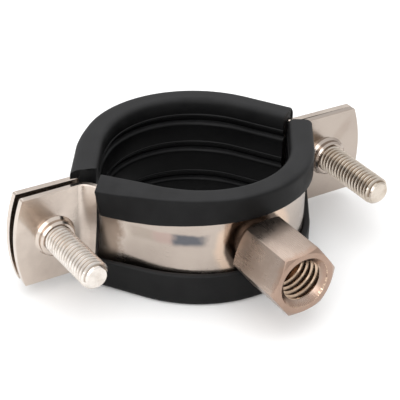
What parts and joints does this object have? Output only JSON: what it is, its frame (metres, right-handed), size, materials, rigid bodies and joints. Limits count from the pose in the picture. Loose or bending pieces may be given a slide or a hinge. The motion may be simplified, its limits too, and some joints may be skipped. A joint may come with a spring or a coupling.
{
  "type": "rubber lined pipe clamp",
  "caption": "Pipe clamp of flat steel band in halves with grooved rubber liners, drawn together by screws at its ears, with a threaded hexagon connecting nut for hanging.",
  "frame": {"origin": "centre of the pipe bore at the middle of the band's width", "axes": "+Z along the pipe, +X along the line of the two screws, -Y points out of the connecting nut's threaded mouth"},
  "size_m": [0.0841, 0.0633, 0.0244],
  "materials": {
    "strap_steel": "satin stainless sheet, softly rolled",
    "liner_rubber": "matte charcoal rubber",
    "nut_steel": "satin turned steel",
    "screw_steel": "rolled thread, bright",
    "washer_steel": "plain satin"
  },
  "bodies": {
    "front_half": {"front_strap": "strap_steel", "front_liner": "liner_rubber", "boss_nut": "nut_steel"},
    "back_half": {"back_strap": "strap_steel", "back_liner": "liner_rubber", "left_washer": "washer_steel", "right_washer": "washer_steel"},
    "left_screw": {"left_screw": "screw_steel"},
    "right_screw": {"right_screw": "screw_steel"}
  },
  "joints": [
    {"name": "jaw_slide", "type": "slide", "parent": "front_half", "child": "back_half", "axis": [0, 1, 0], "range_m": [0, 0.0157]},
    {"name": "left_screw_turn", "type": "hinge", "parent": "back_half", "child": "left_screw", "pos_m": [-0.0334, 0, 0], "axis": [0, 1, 0], "range_deg": [0, 5660]},
    {"name": "right_screw_turn", "type": "hinge", "parent": "back_half", "child": "right_screw", "pos_m": [0.0334, 0, 0], "axis": [0, 1, 0], "range_deg": [0, 5660]}
  ],
  "couplings": [
    {"joint": "left_screw_turn", "follows": "jaw_slide", "rad_per_m": 6283.2},
    {"joint": "right_screw_turn", "follows": "jaw_slide", "rad_per_m": 6283.2}
  ]
}
